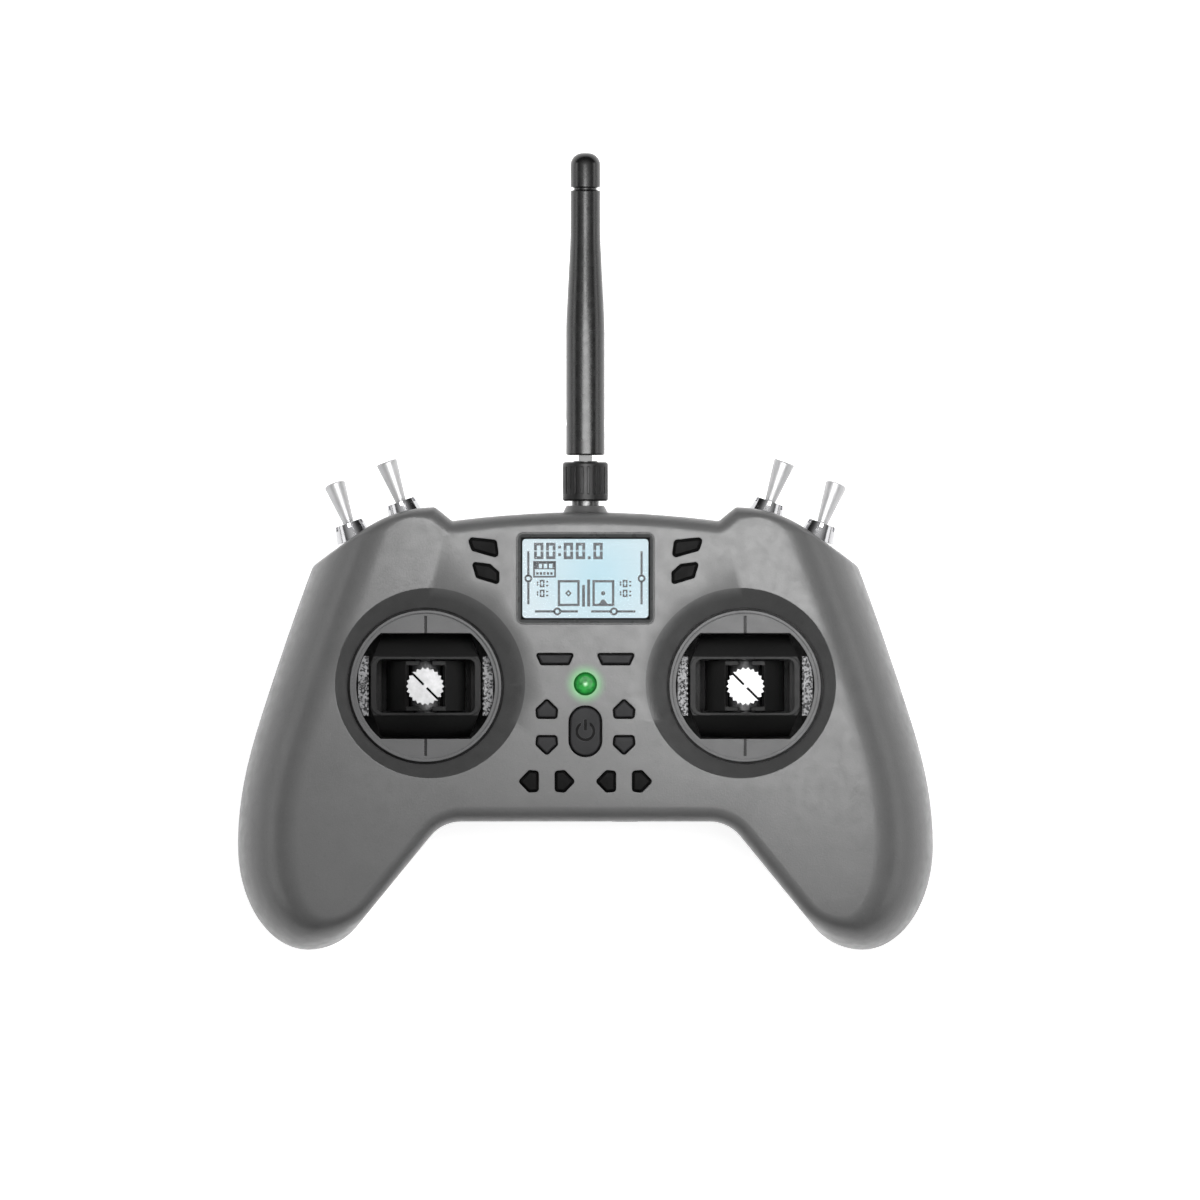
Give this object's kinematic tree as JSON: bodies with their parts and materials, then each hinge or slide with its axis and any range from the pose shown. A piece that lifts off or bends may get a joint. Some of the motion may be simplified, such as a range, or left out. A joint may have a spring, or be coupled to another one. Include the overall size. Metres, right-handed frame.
{
  "type": "radio transmitter controller",
  "caption": "Handheld radio control transmitter shaped like a gamepad, with gimbal sticks, a small screen, face buttons, toggle switches and a folding antenna.",
  "frame": {"origin": "centre of the controller on the flat of its rear housing, z = 0 where it rests on a table", "axes": "+Z out of the face, +Y towards the antenna, +X to the right seen from the face"},
  "size_m": [0.1588, 0.1819, 0.05],
  "materials": {
    "shell_plastic": "fine matt grain, mid grey",
    "screw_steel": "plain steel",
    "black_plastic": "satin black",
    "cast_aluminium": "bright machined",
    "frame_plastic": "dark grey",
    "screen_glass": "clear",
    "lcd_white": "pale blue backlight",
    "led_green": "clear green",
    "button_black": "matt black",
    "button_grey": "matt dark grey",
    "board_green": "solder mask",
    "battery_wrap": "shrink wrap",
    "antenna_black": "matt black",
    "chrome": "polished"
  },
  "bodies": {
    "shell": {"front_shell": "shell_plastic", "rear_shell": "shell_plastic", "gimbal_bezels": "shell_plastic", "sma_socket": "screw_steel", "shell_screws": "screw_steel", "board_screws": "screw_steel", "gimbal_screws": "screw_steel", "yoke_bearings": "screw_steel", "centering_springs": "screw_steel", "tact_switches": "screw_steel", "usb_c_socket": "screw_steel", "gimbal_cups": "black_plastic", "speaker": "black_plastic", "module_connector": "black_plastic", "audio_jack": "black_plastic", "switch_bodies": "black_plastic", "board_chips": "black_plastic", "lcd_carrier": "black_plastic", "bearing_caps": "cast_aluminium", "screen_frame": "frame_plastic", "screen_lens": "screen_glass", "lcd_panel": "lcd_white", "led_lens": "led_green", "main_board": "board_green", "battery_pack": "battery_wrap", "antenna_nut": "antenna_black", "antenna_lead": "antenna_black", "switch_bushings": "chrome", "switch_nuts": "chrome"},
    "bay_cover": {"module_cover": "shell_plastic"},
    "gimbal_yoke_left": {"yoke_left": "black_plastic"},
    "gimbal_yoke_right": {"yoke_right": "black_plastic"},
    "gimbal_stick_left": {"stick_skirt_left": "black_plastic", "stick_left": "cast_aluminium", "stick_tip_left": "cast_aluminium"},
    "gimbal_stick_right": {"stick_skirt_right": "black_plastic", "stick_right": "cast_aluminium", "stick_tip_right": "cast_aluminium"},
    "button_upper_left": {"button_upper_left": "button_black"},
    "button_upper_right": {"button_upper_right": "button_black"},
    "button_lower_left": {"button_lower_left": "button_black"},
    "button_lower_right": {"button_lower_right": "button_black"},
    "button_row_1": {"button_row_1": "button_black"},
    "button_row_2": {"button_row_2": "button_black"},
    "button_row_3": {"button_row_3": "button_black"},
    "button_row_4": {"button_row_4": "button_black"},
    "button_bar_left": {"button_bar_left": "button_grey"},
    "button_bar_right": {"button_bar_right": "button_grey"},
    "button_power": {"button_power": "button_grey"},
    "button_up_left": {"button_up_left": "button_grey"},
    "button_up_right": {"button_up_right": "button_grey"},
    "button_down_left": {"button_down_left": "button_grey"},
    "button_down_right": {"button_down_right": "button_grey"},
    "antenna_arm": {"antenna_pin": "antenna_black", "antenna_whip": "antenna_black"},
    "antenna_base": {"antenna_knuckle": "antenna_black"},
    "toggle_outer_left": {"toggle_outer_left": "chrome"},
    "toggle_outer_right": {"toggle_outer_right": "chrome"},
    "toggle_inner_left": {"toggle_inner_left": "chrome"},
    "toggle_inner_right": {"toggle_inner_right": "chrome"}
  },
  "joints": [
    {"name": "button_upper_left_press", "type": "slide", "parent": "shell", "child": "button_upper_left", "axis": [0, 0, -1], "range_m": [0, 0.0006], "stiffness_N_per_m": 800},
    {"name": "button_upper_right_press", "type": "slide", "parent": "shell", "child": "button_upper_right", "axis": [0, 0, -1], "range_m": [0, 0.0006], "stiffness_N_per_m": 800},
    {"name": "button_lower_left_press", "type": "slide", "parent": "shell", "child": "button_lower_left", "axis": [0, 0, -1], "range_m": [0, 0.0006], "stiffness_N_per_m": 800},
    {"name": "button_lower_right_press", "type": "slide", "parent": "shell", "child": "button_lower_right", "axis": [0, 0, -1], "range_m": [0, 0.0006], "stiffness_N_per_m": 800},
    {"name": "button_bar_left_press", "type": "slide", "parent": "shell", "child": "button_bar_left", "axis": [0, 0, -1], "range_m": [0, 0.0006], "stiffness_N_per_m": 800},
    {"name": "button_bar_right_press", "type": "slide", "parent": "shell", "child": "button_bar_right", "axis": [0, 0, -1], "range_m": [0, 0.0006], "stiffness_N_per_m": 800},
    {"name": "button_power_press", "type": "slide", "parent": "shell", "child": "button_power", "axis": [0, 0, -1], "range_m": [0, 0.0006], "stiffness_N_per_m": 800},
    {"name": "button_up_left_press", "type": "slide", "parent": "shell", "child": "button_up_left", "axis": [0, 0, -1], "range_m": [0, 0.0006], "stiffness_N_per_m": 800},
    {"name": "button_up_right_press", "type": "slide", "parent": "shell", "child": "button_up_right", "axis": [0, 0, -1], "range_m": [0, 0.0006], "stiffness_N_per_m": 800},
    {"name": "button_down_left_press", "type": "slide", "parent": "shell", "child": "button_down_left", "axis": [0, 0, -1], "range_m": [0, 0.0006], "stiffness_N_per_m": 800},
    {"name": "button_down_right_press", "type": "slide", "parent": "shell", "child": "button_down_right", "axis": [0, 0, -1], "range_m": [0, 0.0006], "stiffness_N_per_m": 800},
    {"name": "button_row_1_press", "type": "slide", "parent": "shell", "child": "button_row_1", "axis": [0, 0, -1], "range_m": [0, 0.0006], "stiffness_N_per_m": 800},
    {"name": "button_row_2_press", "type": "slide", "parent": "shell", "child": "button_row_2", "axis": [0, 0, -1], "range_m": [0, 0.0006], "stiffness_N_per_m": 800},
    {"name": "button_row_3_press", "type": "slide", "parent": "shell", "child": "button_row_3", "axis": [0, 0, -1], "range_m": [0, 0.0006], "stiffness_N_per_m": 800},
    {"name": "button_row_4_press", "type": "slide", "parent": "shell", "child": "button_row_4", "axis": [0, 0, -1], "range_m": [0, 0.0006], "stiffness_N_per_m": 800},
    {"name": "stick_left_up_down", "type": "hinge", "parent": "shell", "child": "gimbal_yoke_left", "pos_m": [-0.0364, 0.01, 0.0205], "axis": [1, 0, 0], "range_deg": [-25, 25]},
    {"name": "stick_left_left_right", "type": "hinge", "parent": "gimbal_yoke_left", "child": "gimbal_stick_left", "pos_m": [-0.0364, 0.01, 0.0205], "axis": [0, 1, 0], "range_deg": [-25, 25], "stiffness_Nm_per_rad": 0.05},
    {"name": "stick_right_up_down", "type": "hinge", "parent": "shell", "child": "gimbal_yoke_right", "pos_m": [0.0364, 0.01, 0.0205], "axis": [1, 0, 0], "range_deg": [-25, 25], "stiffness_Nm_per_rad": 0.05},
    {"name": "stick_right_left_right", "type": "hinge", "parent": "gimbal_yoke_right", "child": "gimbal_stick_right", "pos_m": [0.0364, 0.01, 0.0205], "axis": [0, 1, 0], "range_deg": [-25, 25], "stiffness_Nm_per_rad": 0.05},
    {"name": "toggle_outer_left_flip", "type": "hinge", "parent": "shell", "child": "toggle_outer_left", "pos_m": [-0.05365, 0.04612, 0.025], "axis": [0.9397, 0.342, 0], "range_deg": [0, 24]},
    {"name": "toggle_inner_left_flip", "type": "hinge", "parent": "shell", "child": "toggle_inner_left", "pos_m": [-0.04175, 0.05107, 0.025], "axis": [0.9397, 0.342, 0], "range_deg": [-12, 12]},
    {"name": "toggle_outer_right_flip", "type": "hinge", "parent": "shell", "child": "toggle_outer_right", "pos_m": [0.05365, 0.04612, 0.025], "axis": [0.9397, -0.342, 0], "range_deg": [0, 24]},
    {"name": "toggle_inner_right_flip", "type": "hinge", "parent": "shell", "child": "toggle_inner_right", "pos_m": [0.04175, 0.05107, 0.025], "axis": [0.9397, -0.342, 0], "range_deg": [-12, 12]},
    {"name": "antenna_swivel", "type": "hinge", "parent": "shell", "child": "antenna_base", "pos_m": [0, 0.058, 0.024], "axis": [0, 1, 0], "range_deg": [-180, 180]},
    {"name": "antenna_fold", "type": "hinge", "parent": "antenna_base", "child": "antenna_arm", "pos_m": [0, 0.07, 0.024], "axis": [-1, 0, 0], "range_deg": [0, 90]},
    {"name": "bay_cover_lift", "type": "slide", "parent": "shell", "child": "bay_cover", "axis": [0, 0, -1], "range_m": [0, 0.02]}
  ]
}
